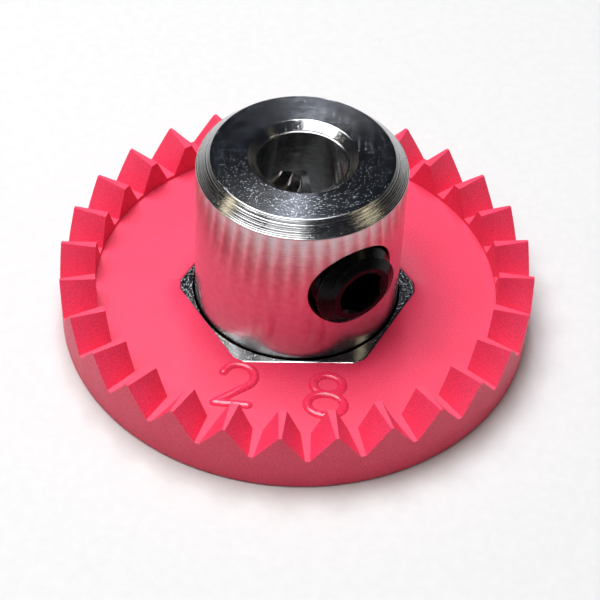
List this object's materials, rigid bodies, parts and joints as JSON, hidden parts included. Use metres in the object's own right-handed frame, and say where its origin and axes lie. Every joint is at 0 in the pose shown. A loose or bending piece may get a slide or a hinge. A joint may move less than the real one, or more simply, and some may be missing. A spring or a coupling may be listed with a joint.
{
  "type": "crown gear",
  "caption": "Moulded nylon crown gear with face teeth on a turned aluminium hub that a radial set screw holds on an axle.",
  "frame": {"origin": "on the bore's axis at the gear's flat back face", "axes": "+Z along the bore towards the hub's nose, -Y the way the set screw backs out"},
  "size_m": [0.0174, 0.0174, 0.0076],
  "materials": {
    "pink_nylon": "satin moulded",
    "turned_aluminium": "bright turned",
    "black_oxide_steel": "black oxide"
  },
  "bodies": {
    "gear_and_hub": {"crown_gear": "pink_nylon", "hub": "turned_aluminium"},
    "screw": {"set_screw": "black_oxide_steel"}
  },
  "joints": [
    {"name": "screw_travel", "type": "slide", "parent": "gear_and_hub", "child": "screw", "axis": [0, -1, 0], "range_m": [-0.00022, 0.0013]}
  ]
}
